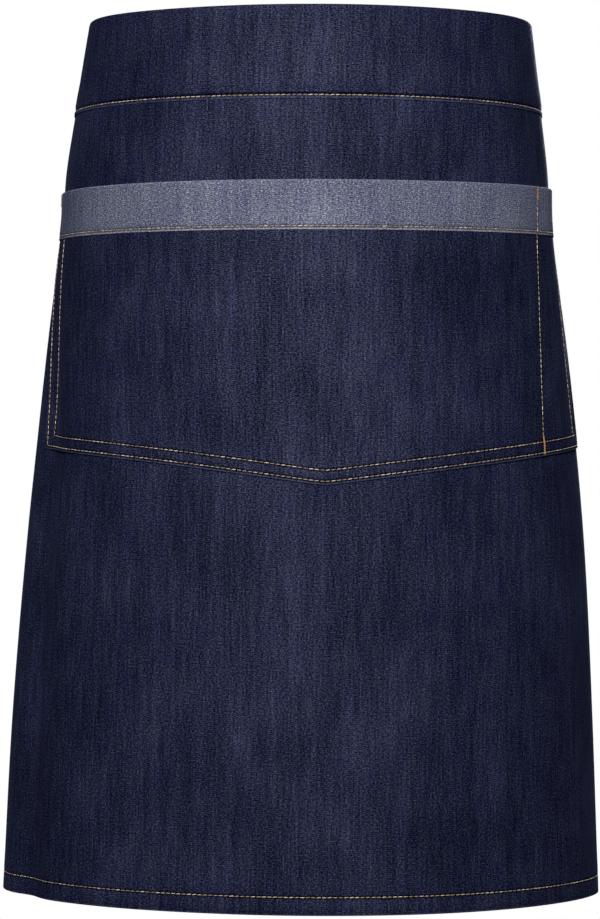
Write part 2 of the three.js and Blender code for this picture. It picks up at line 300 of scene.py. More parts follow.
YARN = 0.6 * MM  # from one warp yarn to the next
WEFT_STEP = 1.15 * MM  # from one fleck to the next along a yarn


def denim(name, stops, gloss, streaks, worn, groove):
    """Denim, a cotton twill: dyed warp yarns run down the cloth with thick
    and thin places, and the undyed weft shows between them as pale flecks, a
    step further on each yarn. The yarns are matt with a soft, broad gleam."""
    material = bpy.data.materials.new(name)
    material.use_nodes = True
    tree = material.node_tree
    tree.nodes.clear()
    cloth = add_node(tree, "ShaderNodeUVMap", {"uv_map": "cloth"}).outputs["UV"]

    def grain(across, along, detail=0.0):
        """Noise with features of the given real size, centred on zero."""
        scaled = add_node(
            tree,
            "ShaderNodeMapping",
            values={"Scale": (1 / across, 1 / along, 1)},
            links={"Vector": cloth},
        )
        noise_node = add_node(
            tree,
            "ShaderNodeTexNoise",
            {"noise_dimensions": "2D"},
            {"Scale": 1.0, "Detail": detail, "Roughness": 0.6},
            {"Vector": scaled.outputs["Vector"]},
        )
        return maths(tree, "SUBTRACT", noise_node.outputs["Fac"], 0.5)

    flecks = grain(1.0 * MM, 0.95 * MM, 1.0)
    slubs = grain(1.15 * MM, 22 * MM, 2.0)
    bundles = grain(6 * MM, 120 * MM, 2.0)
    clouds = grain(45 * MM, 70 * MM, 1.0)
    tints = grain(9 * MM, 14 * MM, 1.0)

    # The weft shows once in each stitch of the weave, out of step from yarn
    # to yarn.
    place = add_node(tree, "ShaderNodeSeparateXYZ", links={"Vector": cloth})
    yarn = maths(tree, "DIVIDE", place.outputs["X"], YARN)
    yarn = maths(tree, "FLOOR", yarn)
    shift = add_node(
        tree, "ShaderNodeTexWhiteNoise", {"noise_dimensions": "1D"}, links={"W": yarn}
    )
    turns = maths(tree, "DIVIDE", place.outputs["Y"], WEFT_STEP)
    turns = maths(tree, "ADD", turns, shift.outputs["Value"])
    weft = maths(tree, "SINE", maths(tree, "MULTIPLY", turns, 2 * math.pi))

    tone = maths(tree, "ADD", flecks, maths(tree, "MULTIPLY", weft, 0.12))
    tone = maths(tree, "ADD", tone, maths(tree, "MULTIPLY", slubs, streaks))
    tone = maths(tree, "ADD", tone, maths(tree, "MULTIPLY", bundles, 0.5 * streaks))
    tone = maths(tree, "ADD", tone, maths(tree, "MULTIPLY", clouds, 0.25))
    tone = maths(tree, "ADD", tone, 0.5)
    dyed = colour_ramp(tree, tone, stops)
    tinted = add_node(
        tree,
        "ShaderNodeHueSaturation",
        values={"Fac": 1.0},
        links={
            "Hue": maths(tree, "ADD", maths(tree, "MULTIPLY", tints, 0.03), 0.5),
            "Saturation": maths(tree, "ADD", maths(tree, "MULTIPLY", tints, 0.3), 1),
            "Color": dyed.outputs["Color"],
        },
    )

    def near(attribute, start, end):
        """1 at the seam or edge, falling to 0 between start and end."""
        distance = add_node(
            tree, "ShaderNodeAttribute", {"attribute_name": attribute}
        ).outputs["Fac"]
        return add_node(
            tree,
            "ShaderNodeMapRange",
            {"interpolation_type": "SMOOTHSTEP"},
            {"From Min": start, "From Max": end, "To Min": 1.0, "To Max": 0.0},
            {"Value": distance},
        ).outputs["Result"]

    # Painted shade: along each stitch row the cloth colour is darkened where the stitching draws
    # the cloth into a groove.
    seam = near("to_seam", 0.45 * MM, 1.5 * MM)
    groove_painted_shade = add_node(
        tree,
        "ShaderNodeMix",
        {"data_type": "RGBA", "blend_type": "MULTIPLY"},
        {COLOUR_B: linear("#2a2b33")},
        {"Factor": maths(tree, "MULTIPLY", seam, groove), COLOUR_A: tinted.outputs["Color"]},
    )

    # Finished edges are rubbed paler on their high yarns.
    rubbed = maths(tree, "MULTIPLY", near("to_edge", 0.0, 0.9 * MM), 0.65)
    rubbed = maths(tree, "MULTIPLY", rubbed, maths(tree, "ADD", tone, 0.1))
    faded = add_node(
        tree,
        "ShaderNodeMix",
        {"data_type": "RGBA"},
        {COLOUR_B: linear(worn)},
        {"Factor": rubbed, COLOUR_A: groove_painted_shade.outputs[COLOUR_OUT]},
    )

    gleam = add_node(
        tree,
        "ShaderNodeMapRange",
        values={
            "From Min": 0.25,
            "From Max": 0.95,
            "To Min": gloss[0],
            "To Max": gloss[1],
        },
        links={"Value": tone},
    ).outputs["Result"]
    gleam = maths(tree, "MULTIPLY", gleam, maths(tree, "SUBTRACT", 1.0, seam))
    bump = add_node(
        tree,
        "ShaderNodeBump",
        values={"Strength": 0.22, "Distance": 0.3 * MM},
        links={"Height": maths(tree, "SUBTRACT", tone, seam)},
    )
    shader = add_node(
        tree,
        "ShaderNodeBsdfPrincipled",
        values={
            "Roughness": 0.7,
            "IOR": 1.5,
            "Specular Tint": linear("#d2d2fa"),
            "Sheen Weight": 0.03,
            "Sheen Roughness": 0.4,
            "Sheen Tint": linear("#7f92e0"),
        },
        links={
            "Base Color": faded.outputs[COLOUR_OUT],
            "Specular IOR Level": gleam,
            "Normal": bump.outputs["Normal"],
        },
    )
    add_node(tree, "ShaderNodeOutputMaterial", links={"Surface": shader.outputs["BSDF"]})
    return material


# In both denims, groove sets how strongly the painted shade darkens the cloth along the stitch
# rows.
indigo_denim = denim(
    "indigo_denim_twill",
    [
        (0.22, "#040714"),
        (0.44, "#090c1e"),
        (0.58, "#0e1229"),
        (0.72, "#1b2038"),
        (0.9, "#2e334b"),
    ],
    gloss=(0.0, 0.72),
    streaks=0.42,
    worn="#4a5470",
    groove=0.65,
)
denim_wrong_side = denim(
    "denim_twill_wrong_side",
    [
        (0.2, "#1b2036"),
        (0.4, "#3d4257"),
        (0.55, "#505463"),
        (0.7, "#63646e"),
        (0.88, "#8f9096"),
    ],
    gloss=(0.15, 0.5),
    streaks=0.26,
    worn="#a0a2ac",
    groove=0.45,
)


def finish_cloth(piece, node, outside, inside):
    """Gives a cut cloth its two sides and thickness and hands it over."""
    piece.data.materials.append(outside)
    piece.data.materials.append(inside)
    give_thickness(piece)
    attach(piece, "root")
    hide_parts(node)


SKIRT_LIFT = 0.4 * MM
TURN_LIFT = -0.3 * MM
SKIRT_TOP = WAISTBAND - 11 * MM
HEM_ROW = LENGTH - HEM_FOLD + SEAM_IN
SIDE_ROW = HALF_WIDTH - HEM_FOLD + SEAM_IN

POCKET_HALF = 192 * MM
DIVIDER = 138.5 * MM

hem_rows = turned_edge(LENGTH, HEM_FOLD, SKIRT_LIFT, TURN_LIFT)
skirt_downs = spaced(
    [
        SKIRT_TOP,
        WAISTBAND,
        LENGTH - HEM_FOLD - 3 * MM,
        HEM_ROW - GROOVE,
        HEM_ROW,
        HEM_ROW + GROOVE,
        hem_rows[0][0],
    ],
    6 * MM,
)
skirt_rows = [(down, SKIRT_LIFT, down) for down in skirt_downs] + hem_rows[1:]
side_rows = turned_edge(HALF_WIDTH, HEM_FOLD, 0, TURN_LIFT - SKIRT_LIFT)
side_stops = [0, SIDE_ROW - GROOVE, SIDE_ROW, SIDE_ROW + GROOVE, side_rows[0][0]]
half_columns = [(arc, 0, arc) for arc in spaced(side_stops, 3 * MM)] + side_rows[1:]
skirt_columns = [(-a, lift, -flat) for a, lift, flat in reversed(half_columns[1:])]
skirt_columns += half_columns


def side_groove(arc):
    """The turned side edge is drawn in along its stitching."""
    off = abs(abs(arc) - SIDE_ROW)
    return 0.2 * MM * math.exp(-(off / (1.3 * MM)) ** 2)


def hem_pucker(arc, down):
    """Sewing the hem pulls it into small slanting ripples."""
    ripple = noise.noise(Vector(((arc + 0.6 * (down - HEM_ROW)) / 0.0085, 1.7, 0)))
    near = math.exp(-((down - HEM_ROW) / (7 * MM)) ** 2)
    groove = math.exp(-((down - HEM_ROW) / (1.3 * MM)) ** 2)
    return (0.28 * ripple * near - 0.22 * groove) * MM


def place_skirt(column, row):
    arc, aside, _ = column
    down, lift, _ = row
    below = smooth(WAISTBAND, WAISTBAND + 4 * MM, down)
    if abs(arc) > SIDE_ROW - 10 * MM and aside:
        aside *= 0.35 + 0.65 * below
    lift += aside - side_groove(arc)
    return on_form(arc, down, lift + hem_pucker(arc, down) + unevenness(arc, down))


def skirt_seam(column, row):
    on_hem = abs(row[-1] - HEM_ROW)
    on_side = abs(abs(column[-1]) - SIDE_ROW)
    return min(on_hem, on_side)


def skirt_edge(column, row):
    return min(abs(row[-1] - LENGTH), abs(abs(column[-1]) - HALF_WIDTH))


skirt = cut_cloth(
    "skirt_cloth", skirt_columns, skirt_rows, place_skirt, skirt_seam, skirt_edge
)
finish_cloth(
    skirt,
    "skirt_panel",
    indigo_denim,
    denim_wrong_side,
)

# The topstitching: tan core-spun polyester thread, a lockstitch of 3 mm. Each
# stitch is a short twisted bead pulled into the cloth at both ends.

THREAD_WIDTH = 0.6 * MM


def thread(name, stops):
    """Polyester topstitching thread, dyed, with a soft satin gleam; each
    stitch catches the light a little differently."""
    material = bpy.data.materials.new(name)
    material.use_nodes = True
    tree = material.node_tree
    tree.nodes.clear()
    tone = add_node(tree, "ShaderNodeAttribute", {"attribute_name": "stitch_tone"})
    dyed = colour_ramp(tree, tone.outputs["Fac"], stops)
    shader = add_node(
        tree,
        "ShaderNodeBsdfPrincipled",
        values={"Roughness": 0.5, "IOR": 1.5, "Sheen Weight": 0.2},
        links={"Base Color": dyed.outputs["Color"]},
    )
    add_node(tree, "ShaderNodeOutputMaterial", links={"Surface": shader.outputs["BSDF"]})
    return material


tan_thread = thread(
    "tan_polyester_thread", [(0.0, "#6b5a47"), (0.6, "#8f7d64"), (1.0, "#bfaa90")]
)
gold_thread = thread(
    "gold_polyester_thread", [(0.0, "#85591c"), (0.6, "#a06c24"), (1.0, "#bd8838")]
)


single_stitch = bpy.data.meshes.new("single_stitch")


def new_stitching():
    bm = bmesh.new()
    bm.verts.layers.float.new("stitch_tone")
    return bm


def sew_stitch(bm, ends, lift, width=THREAD_WIDTH):
    """One stitch between two (arc, down) places on a cloth's outer face."""
    (a, b), (c, d) = ends
    start = on_form(a, b, lift)
    end = on_form(c, d, lift)
    out = (on_form(a, b, lift + MM) - start).normalized()
    along = (end - start).normalized()
    side = out.cross(along).normalized()
    along = (along + side * random.uniform(0.02, 0.1)).normalized()
    side = out.cross(along).normalized()
    length = (end - start).length
    basis = Matrix((side * width, out * width * 0.8, along * length)).transposed()
    middle = (start + end) / 2 + out * 0.05 * MM
    one = bmesh.new()
    tone = one.verts.layers.float.new("stitch_tone")
    bmesh.ops.create_uvsphere(
        one,
        u_segments=6,
        v_segments=4,
        radius=0.5,
        matrix=Matrix.Translation(middle) @ basis.to_4x4(),
    )
    shade = random.random()
    for vertex in one.verts:
        vertex[tone] = shade
    one.to_mesh(single_stitch)
    one.free()
    bm.from_mesh(single_stitch)


def sew_row(bm, path, length, lift, pitch=STITCH, share=0.93):
    """Stitches along path(s) = (arc, down) for s from 0 to length."""
    count = round(length / pitch)
    for i in range(count):
        start = (i + (1 - share) / 2) * length / count
        end = (i + (1 + share) / 2) * length / count
        a, b = path(start), path(end)
        middle = ((a[0] + b[0]) / 2, (a[1] + b[1]) / 2)
        sew_stitch(bm, (a, b), lift(*middle))


def finish_stitching(bm, name, material):
    for face in bm.faces:
        face.smooth = True
    mesh = bpy.data.meshes.new(name)
    bm.to_mesh(mesh)
    bm.free()
    piece = bpy.data.objects.new(name, mesh)
    bpy.context.collection.objects.link(piece)
    mesh.materials.append(material)
    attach(piece, "root")
    return piece


def skirt_face(arc, down):
    dip = hem_pucker(arc, down) + unevenness(arc, down) - side_groove(arc)
    return SKIRT_LIFT + CLOTH / 2 + dip


hem_stitching = new_stitching()
sew_row(
    hem_stitching,
    lambda s: (-HALF_WIDTH + s, HEM_ROW),
    2 * HALF_WIDTH,
    skirt_face,
)
for side in (-1, 1):
    sew_row(
        hem_stitching,
        lambda s, side=side: (side * SIDE_ROW, WAISTBAND + 2 * MM + s),
        LENGTH - WAISTBAND - 3 * MM,
        skirt_face,
    )
finish_stitching(hem_stitching, "hem_stitching", tan_thread)

# The waistband: a strip of the same denim folded double over the top, its
# raw edges turned in, with the skirt's upper edge sewn between its leaves.

BAND_OUT = 1.2 * MM  # the outer leaf over the skirt's edge
BAND_FLAT = 0.9 * MM  # the outer leaf above it
BAND_EDGE = 1.0 * MM  # pulled down by its stitching
BAND_IN = -0.45 * MM  # the inner leaf
BAND_BEND = 1.2 * MM  # where the cloth turns over at the top edge
BAND_ROW = WAISTBAND - SEAM_IN
BAND_TURN = 8 * MM


def band_leaf(down):
    step = smooth(SKIRT_TOP - 9 * MM, SKIRT_TOP + 2 * MM, down)
    edge = smooth(BAND_ROW - 4 * MM, BAND_ROW, down)
    leaf = BAND_FLAT + (BAND_OUT - BAND_FLAT) * step
    return leaf + (BAND_EDGE - leaf) * edge


outer_edge = turned_edge(WAISTBAND, BAND_TURN, BAND_EDGE, BAND_EDGE - 0.3 * MM)
band_rows = []
for down, lift, length in reversed(outer_edge[1:-1]):
    band_rows.append((down, lift, length))
band_downs = spaced(
    [
        outer_edge[0][0],
        BAND_ROW + GROOVE,
        BAND_ROW,
        BAND_ROW - GROOVE,
        SKIRT_TOP,
        BAND_BEND,
    ],
    4 * MM,
)
band_rows += [(down, band_leaf(down), down) for down in band_downs]
top_radius = (BAND_FLAT - BAND_IN) / 2
for i in range(1, 7):
    turn = math.pi * i / 7
    band_rows.append(
        (
            BAND_BEND - BAND_BEND * math.sin(turn),
            (BAND_FLAT + BAND_IN) / 2 + top_radius * math.cos(turn),
            BAND_BEND - 1.3 * MM * turn,
        )
    )
inner_downs = spaced([BAND_BEND, WAISTBAND - 1 * MM], 6 * MM)
band_rows += [(down, BAND_IN, -2.9 * MM - down) for down in inner_downs]
band_rows.reverse()
band_columns = [
    (arc, 0, arc) for arc in spaced([-HALF_WIDTH, 0, HALF_WIDTH], 3 * MM)
]


def band_pucker(arc, down):
    ripple = noise.noise(Vector(((arc - 0.5 * down) / 0.009, 8.3, 0)))
    near = math.exp(-((down - BAND_ROW) / (5 * MM)) ** 2)
    ditch = math.exp(-((down - BAND_ROW + 1.0 * MM) / (0.8 * MM)) ** 2)
    return (0.16 * ripple * near - 0.35 * ditch) * MM


def place_band(column, row):
    arc = column[0]
    down, lift, flat = row
    if flat > 0:
        lift += band_pucker(arc, down)
    return on_form(arc, down, lift + unevenness(arc, down))


waistband = cut_cloth(
    "waistband_cloth",
    band_columns,
    band_rows,
    place_band,
    lambda column, row: abs(row[-1] - BAND_ROW + 0.7 * MM),
    lambda column, row: min(abs(row[-1] - WAISTBAND), abs(row[-1] + 0.7 * MM)),
)
finish_cloth(
    waistband,
    "waistband",
    indigo_denim,
    denim_wrong_side,
)

band_stitching = new_stitching()


def band_face(arc, down):
    return band_leaf(down) + CLOTH / 2 + band_pucker(arc, down) + unevenness(arc, down)


sew_row(
    band_stitching,
    lambda s: (-HALF_WIDTH + s, BAND_ROW),
    2 * HALF_WIDTH,
    band_face,
)
finish_stitching(band_stitching, "waistband_stitching", tan_thread)

# The pocket: one layer of the same denim, turned under along its sides and
# its shallow V, and sewn down with two rows of topstitching. Its mouth stands
# off the skirt between its seams, and a divider seam parts off a pen pocket.

POCKET_TOP = 97 * MM
POCKET_DEPTH = 167.5 * MM
V_DROP = 20.7 * MM
MOUTH_BOW = 2 * MM, 3.2 * MM  # how far the mouth's two ends ride up
V_ROUND = 4 * MM  # radius of the V's point
V_HOLLOW = 2.2 * MM, 1 * MM  # how far each arm of the V bows up
POCKET_TILT = 1.1 * MM
POCKET_FOLD = 8 * MM
POCKET_SLACK = 9.5 * MM
PEN_SLACK = 1 * MM
MOUTH_BAND = 27 * MM
POCKET_LIFT = 1.05 * MM  # middle of the cloth in the field
SECOND_ROW = 6.1 * MM  # between the twin rows
OUTER_ROW = SEAM_IN
INNER_ROW = SEAM_IN + SECOND_ROW
INNER_TOP = 15.5 * MM, 24 * MM  # the inner side rows at the mouth
INNER_FOOT = INNER_ROW, 12.6 * MM  # and at the pocket's corners
DIVIDER_LEAN = 0.8 * MM
FOLD_DROP = -0.45 * MM  # the turned edge lies under the cloth


def level_at(arc):
    """Where a mouth that hung straight would lie."""
    return POCKET_TOP - POCKET_TILT * arc / POCKET_HALF


def mouth_at(arc):
    """The mouth hangs lower in the middle than at its ends."""
    bow = MOUTH_BOW[0] if arc < 0 else MOUTH_BOW[1]
    return level_at(arc) - bow * (arc / POCKET_HALF) ** 2


def bottom_at(arc):
    """The lower edge: a shallow V with slightly bowed arms."""
    out = math.hypot(arc, V_ROUND)
    hollow = V_HOLLOW[0] if arc < 0 else V_HOLLOW[1]
    bow = hollow * math.sin(math.pi * min(abs(arc) / POCKET_HALF, 1))
    return level_at(arc) + POCKET_DEPTH - V_DROP * out / POCKET_HALF - bow


def divider_at(down):
    """The divider's seam leans a little outwards as it falls."""
    return DIVIDER + DIVIDER_LEAN * ((down - POCKET_TOP) / POCKET_DEPTH - 0.5)


def inner_inset(arc, down):
    """Each side's inner row leans out on its way down from the mouth."""
    share = (down - POCKET_TOP) / (POCKET_DEPTH - V_DROP)
    share = min(max(share, 0), 1)
    top, foot = (pair[0] if arc < 0 else pair[1] for pair in (INNER_TOP, INNER_FOOT))
    return top + (foot - top) * share**2


def pocket_slack(arc, down):
    """How far the wide and the pen pocket gape, most at the mouth."""
    left, right = -POCKET_HALF + POCKET_FOLD, POCKET_HALF - POCKET_FOLD
    wide = (arc - left) / (DIVIDER - left)
    pen = (arc - DIVIDER) / (right - DIVIDER)
    opening = 1 - (down - mouth_at(arc)) / (POCKET_DEPTH - V_DROP)
    opening = min(max(opening, 0), 1)
    if 0 < wide < 1:
        return POCKET_SLACK * opening * math.sin(math.pi * wide) ** 2
    if 0 < pen < 1:
        return PEN_SLACK * opening * math.sin(math.pi * pen) ** 2
    return 0


def pocket_leaf(arc, down):
    """Middle of the pocket's cloth, raised over its turned edges."""
    edge = min(POCKET_HALF - abs(arc), bottom_at(arc) - down)
    raised = 1 - smooth(POCKET_FOLD - 0.5 * MM, POCKET_FOLD + 2 * MM, edge)
    seams = pocket_seam_distance(arc, down)
    groove = 0.25 * MM * math.exp(-(seams / GROOVE) ** 2)
    ripple = noise.noise(Vector((arc / 0.011, down / 0.011, 5.2)))
    near = math.exp(-(max(seams, 0) / (5 * MM)) ** 2)
    return (
        POCKET_LIFT
        + 0.4 * MM * raised
        + pocket_slack(arc, down)
        + 0.12 * MM * ripple * near
        - groove
        + unevenness(arc, down)
    )


def pocket_seam_distance(arc, down):
    side = POCKET_HALF - abs(arc)
    low = bottom_at(arc) - down
    found = [abs(side - OUTER_ROW), abs(low - OUTER_ROW)]
    if low > INNER_ROW - MM:
        found.append(abs(side - inner_inset(arc, down)))
    if side > inner_inset(arc, down) - MM:
        found.append(abs(low - INNER_ROW))
    if low > OUTER_ROW:
        found.append(abs(arc - divider_at(down)))
    return min(found)


side_fold = turned_edge(POCKET_HALF, POCKET_FOLD * 0.8, 0, FOLD_DROP)
pocket_stops = [
    POCKET_HALF - 26 * MM,
    POCKET_HALF - INNER_ROW - GROOVE,
    POCKET_HALF - INNER_ROW,
    POCKET_HALF - INNER_ROW + GROOVE,
    POCKET_HALF - OUTER_ROW - GROOVE,
    POCKET_HALF - OUTER_ROW,
    side_fold[0][0],
]
pocket_arcs = spaced([0, DIVIDER, pocket_stops[0]], 3 * MM)
pocket_arcs += spaced(pocket_stops, 1.1 * MM)[1:]
half_columns = [(arc, 0, arc) for arc in pocket_arcs] + side_fold[1:]
pocket_columns = [(-a, lift, -flat) for a, lift, flat in reversed(half_columns[1:])]
pocket_columns += half_columns

# A row is the distance above the V, or below the mouth, then the lift of the
# turned edge and the length along the cloth.
bottom_fold = turned_edge(0, POCKET_FOLD * 0.8, 0, FOLD_DROP)
low_stops = [
    26 * MM,
    INNER_ROW + GROOVE,
    INNER_ROW,
    INNER_ROW - GROOVE,
    OUTER_ROW + GROOVE,
    OUTER_ROW,
    -bottom_fold[0][0],
]
LOW_ZONE = low_stops[0]
pocket_rows = [("high", s, 0, s) for s in spaced([0, 1], 0.045)]
pocket_rows += [("low", -s, 0, -s) for s in spaced(low_stops, 3 * MM)[1:]]
pocket_rows += [("low", d, lift, length) for d, lift, length in bottom_fold[1:]]


def pocket_place(column, row):
    arc = column[0]
    zone, along, _, _ = row
    top = mouth_at(arc) + 1.2 * MM
    low = bottom_at(arc) - LOW_ZONE
    if zone == "high":
        return arc, top + (low - top) * along
    return arc, bottom_at(arc) + along


def place_pocket(column, row):
    arc, down = pocket_place(column, row)
    seated = min(abs(arc), POCKET_HALF) * math.copysign(1, arc)
    lift = pocket_leaf(seated, down) + column[1] + row[2]
    return on_form(arc, down, lift)


def pocket_seam(column, row):
    if column[1] or row[2]:
        return 9 * MM
    return pocket_seam_distance(*pocket_place(column, row))


def pocket_edge(column, row):
    arc, down = pocket_place(column, row)
    side = abs(POCKET_HALF - abs(arc)) if abs(arc) < POCKET_HALF + MM else 0
    return min(side, abs(bottom_at(arc) - down))


pocket = cut_cloth(
    "pocket_cloth",
    pocket_columns,
    pocket_rows,
    place_pocket,
    pocket_seam,
    pocket_edge,
    lambda column, row: (column[-1], pocket_place(column, row)[1] + 0.31),
)
finish_cloth(
    pocket,
    "pocket_panel",
    indigo_denim,
    denim_wrong_side,
)


def pocket_face(arc, down):
    return pocket_leaf(arc, down) + CLOTH / 2


pocket_stitching = new_stitching()


def side_inset(side, down, row):
    """How far in from the side edge a row runs at one height."""
    return OUTER_ROW if row == OUTER_ROW else inner_inset(side, down)


for side in (-1, 1):
    edge = side * POCKET_HALF
    for row in (OUTER_ROW, INNER_ROW):
        start = mouth_at(edge) + MOUTH_BAND
        foot = bottom_at(edge - side * side_inset(side, LENGTH, row)) - row
        sew_row(
            pocket_stitching,
            lambda s, side=side, edge=edge, row=row, start=start: (
                edge - side * side_inset(side, start + s, row),
                start + s,
            ),
            foot - start,
            pocket_face,
        )
        sew_row(
            pocket_stitching,
            lambda s, side=side, row=row: (side * s, bottom_at(side * s) - row),
            POCKET_HALF - side_inset(side, LENGTH, row),
            pocket_face,
        )


def on_divider(down):
    return divider_at(down), down


sew_row(
    pocket_stitching,
    lambda s: on_divider(mouth_at(DIVIDER) + MOUTH_BAND + s),
    bottom_at(DIVIDER) - OUTER_ROW - mouth_at(DIVIDER) - MOUTH_BAND,
    pocket_face,
)
finish_stitching(pocket_stitching, "pocket_stitching", tan_thread)

# The mouth band: a strip of the denim with its wrong side out, so it shows
# the pale weft. It is folded over the pocket's mouth and sewn along its lower
# edge, which is turned under.

BAND_SEAT = 0.62 * MM  # one cloth above the pocket's own
MOUTH_BEND = 1.3 * MM  # where the cloth turns over the mouth
mouth_low = turned_edge(MOUTH_BAND, 5 * MM, 0, -0.3 * MM)
mouth_rows = [(d, lift, length) for d, lift, length in reversed(mouth_low[1:-1])]
mouth_downs = spaced(
    [
        mouth_low[0][0],
        MOUTH_BAND - SEAM_IN + 1.0 * MM,
        MOUTH_BAND - SEAM_IN,
        MOUTH_BAND - SEAM_IN - GROOVE,
        MOUTH_BEND,
    ],
    3 * MM,
)
mouth_rows += [(d, 0, d) for d in mouth_downs]
for i in range(1, 6):
    turn = math.pi * i / 6
    mouth_rows.append(
        (
            MOUTH_BEND - MOUTH_BEND * math.sin(turn),
            -0.65 * MM * (1 - math.cos(turn)),
            MOUTH_BEND - 1.1 * MM * turn,
        )
    )
mouth_rows += [(d, -MOUTH_BEND, -2.2 * MM - d) for d in (MOUTH_BEND, 6 * MM, 12 * MM)]
mouth_rows.reverse()
mouth_columns = [
    (arc, 0, arc)
    for arc in spaced(
        [-POCKET_HALF, -POCKET_HALF + OUTER_ROW, 0, DIVIDER, POCKET_HALF], 3 * MM
    )
]


def mouth_leaf(arc, down):
    low = mouth_at(arc) + MOUTH_BAND - SEAM_IN
    groove = 0.2 * MM * math.exp(-((down - low) / GROOVE) ** 2)
    return pocket_leaf(arc, down) + BAND_SEAT - groove


def place_mouth(column, row):
    arc = column[0]
    down = mouth_at(arc) + row[0]
    return on_form(arc, down, mouth_leaf(arc, down) + row[1])


mouth_band = cut_cloth(
    "mouth_band_cloth",
    mouth_columns,
    mouth_rows,
    place_mouth,
    lambda column, row: abs(row[-1] - MOUTH_BAND + SEAM_IN),
    lambda column, row: min(abs(row[-1] - MOUTH_BAND), abs(row[-1] + 0.4 * MM)),
)
finish_cloth(
    mouth_band,
    "pocket_mouth_band",
    denim_wrong_side,
    indigo_denim,
)


def mouth_face(arc, down):
    return mouth_leaf(arc, down) + CLOTH / 2


mouth_stitching = new_stitching()
sew_row(
    mouth_stitching,
    lambda s: (-POCKET_HALF + s, mouth_at(-POCKET_HALF + s) + MOUTH_BAND - SEAM_IN),
    2 * POCKET_HALF,
    mouth_face,
)
for arc in (-POCKET_HALF + OUTER_ROW, POCKET_HALF - OUTER_ROW):
    sew_row(
        mouth_stitching,
        lambda s, arc=arc: (arc, mouth_at(arc) + 2 * MM + s),
        MOUTH_BAND - 3 * MM,
        mouth_face,
    )
sew_row(
    mouth_stitching,
    lambda s: on_divider(mouth_at(DIVIDER) + 2 * MM + s),
    MOUTH_BAND - 3 * MM,
    mouth_face,
)
finish_stitching(mouth_stitching, "mouth_band_stitching", tan_thread)

# The bartacks: close satin stitches in gold thread that lock the pocket's
# corners and the divider's ends.


def sew_bartack(bm, path, start, length, face, width=1.5 * MM):
    count = round(length / (0.42 * MM))
    for i in range(count):
        arc, down = path(start + length * i / (count - 1))
        ends = ((arc - width / 2, down), (arc + width / 2, down + 0.15 * MM))
        sew_stitch(bm, ends, face(arc, down) + 0.25 * MM, 0.62 * MM)


bartacks = new_stitching()
for arc in (-POCKET_HALF + 3 * MM, POCKET_HALF - 3 * MM):
    sew_bartack(
        bartacks,
        lambda down, arc=arc: (arc, down),
        mouth_at(arc) + 0.5 * MM,
        7 * MM,
        mouth_face,
    )
sew_bartack(bartacks, on_divider, mouth_at(DIVIDER) + 0.5 * MM, 7 * MM, mouth_face)
sew_bartack(bartacks, on_divider, bottom_at(DIVIDER) - 11 * MM, 10 * MM, pocket_face)
finish_stitching(bartacks, "pocket_bartacks", gold_thread)

# The ties: self-fabric straps, folded and sewn flat, lapped onto the
# waistband's ends and tied in a plain knot behind, with two free tails.

TIE_WIDTH = 28 * MM
TIE_CLOTH = 2.2 * MM
TIE_LAP = 24 * MM
TIE_SEAM = 2.2 * MM  # its stitching, in from the edge
TAIL_LENGTH = 230 * MM
TAIL_PINCH = 14 * MM
TAIL_SPREAD = 26 * MM
KNOT_WIDTH = 32 * MM
KNOT_HEIGHT = 32 * MM
KNOT_DEPTH = 15 * MM
TIE_DOWN = WAISTBAND / 2
TIE_SEAT = 2.6 * MM
KNOT_LIFT = TIE_SEAT + KNOT_DEPTH / 2


def back_arc(down):
    """Half the way round the form: the middle of the back opening."""
    return float(section(round(down / (0.2 * MM)))[1][-1])


def strap(name, stations, place, width_at):
    """A flat strap: a grid wrapped round the strap's section and closed.

    place(station, across, out) puts a point of the section on the form.
    """
    mesh = bpy.data.meshes.new(name)
    bm = bmesh.new()
    around, along = 28, len(stations) - 1
    bmesh.ops.create_grid(bm, x_segments=around, y_segments=along, size=0.5)
    uv = bm.loops.layers.uv.new("cloth")
    to_seam = bm.verts.layers.float.new("to_seam")
    to_edge = bm.verts.layers.float.new("to_edge")
    flat = {}
    for vertex in bm.verts:
        turn = round((vertex.co.x + 0.5) * around) / around
        station = stations[round((0.5 - vertex.co.y) * along)]
        half = width_at(station) / 2
        angle = 2 * math.pi * turn
        across = math.copysign(abs(math.cos(angle)) ** 0.75, math.cos(angle)) * half
        bulge = math.copysign(abs(math.sin(angle)) ** 0.3, math.sin(angle))
        out = bulge * TIE_CLOTH / 2
        to_side = half - abs(across)
        out *= 1 - 0.18 * math.exp(-((to_side - TIE_SEAM) / (1.2 * MM)) ** 2)
        flat[vertex] = (across + half * 2.2 * (out < 0), station)
        vertex.co = place(station, across, out)
        vertex[to_seam] = abs(to_side - TIE_SEAM)
        vertex[to_edge] = to_side
    for face in bm.faces:
        face.smooth = True
        for loop in face.loops:
            loop[uv].uv = flat[loop.vert]
    bmesh.ops.remove_doubles(bm, verts=bm.verts, dist=1e-6)
    rims = [edge for edge in bm.edges if edge.is_boundary]
    bmesh.ops.holes_fill(bm, edges=rims, sides=0)
    bmesh.ops.recalc_face_normals(bm, faces=bm.faces)
    bm.to_mesh(mesh)
    bm.free()
    piece = bpy.data.objects.new(name, mesh)
    bpy.context.collection.objects.link(piece)
    mesh.materials.append(indigo_denim)
    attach(piece, "root")
    return piece


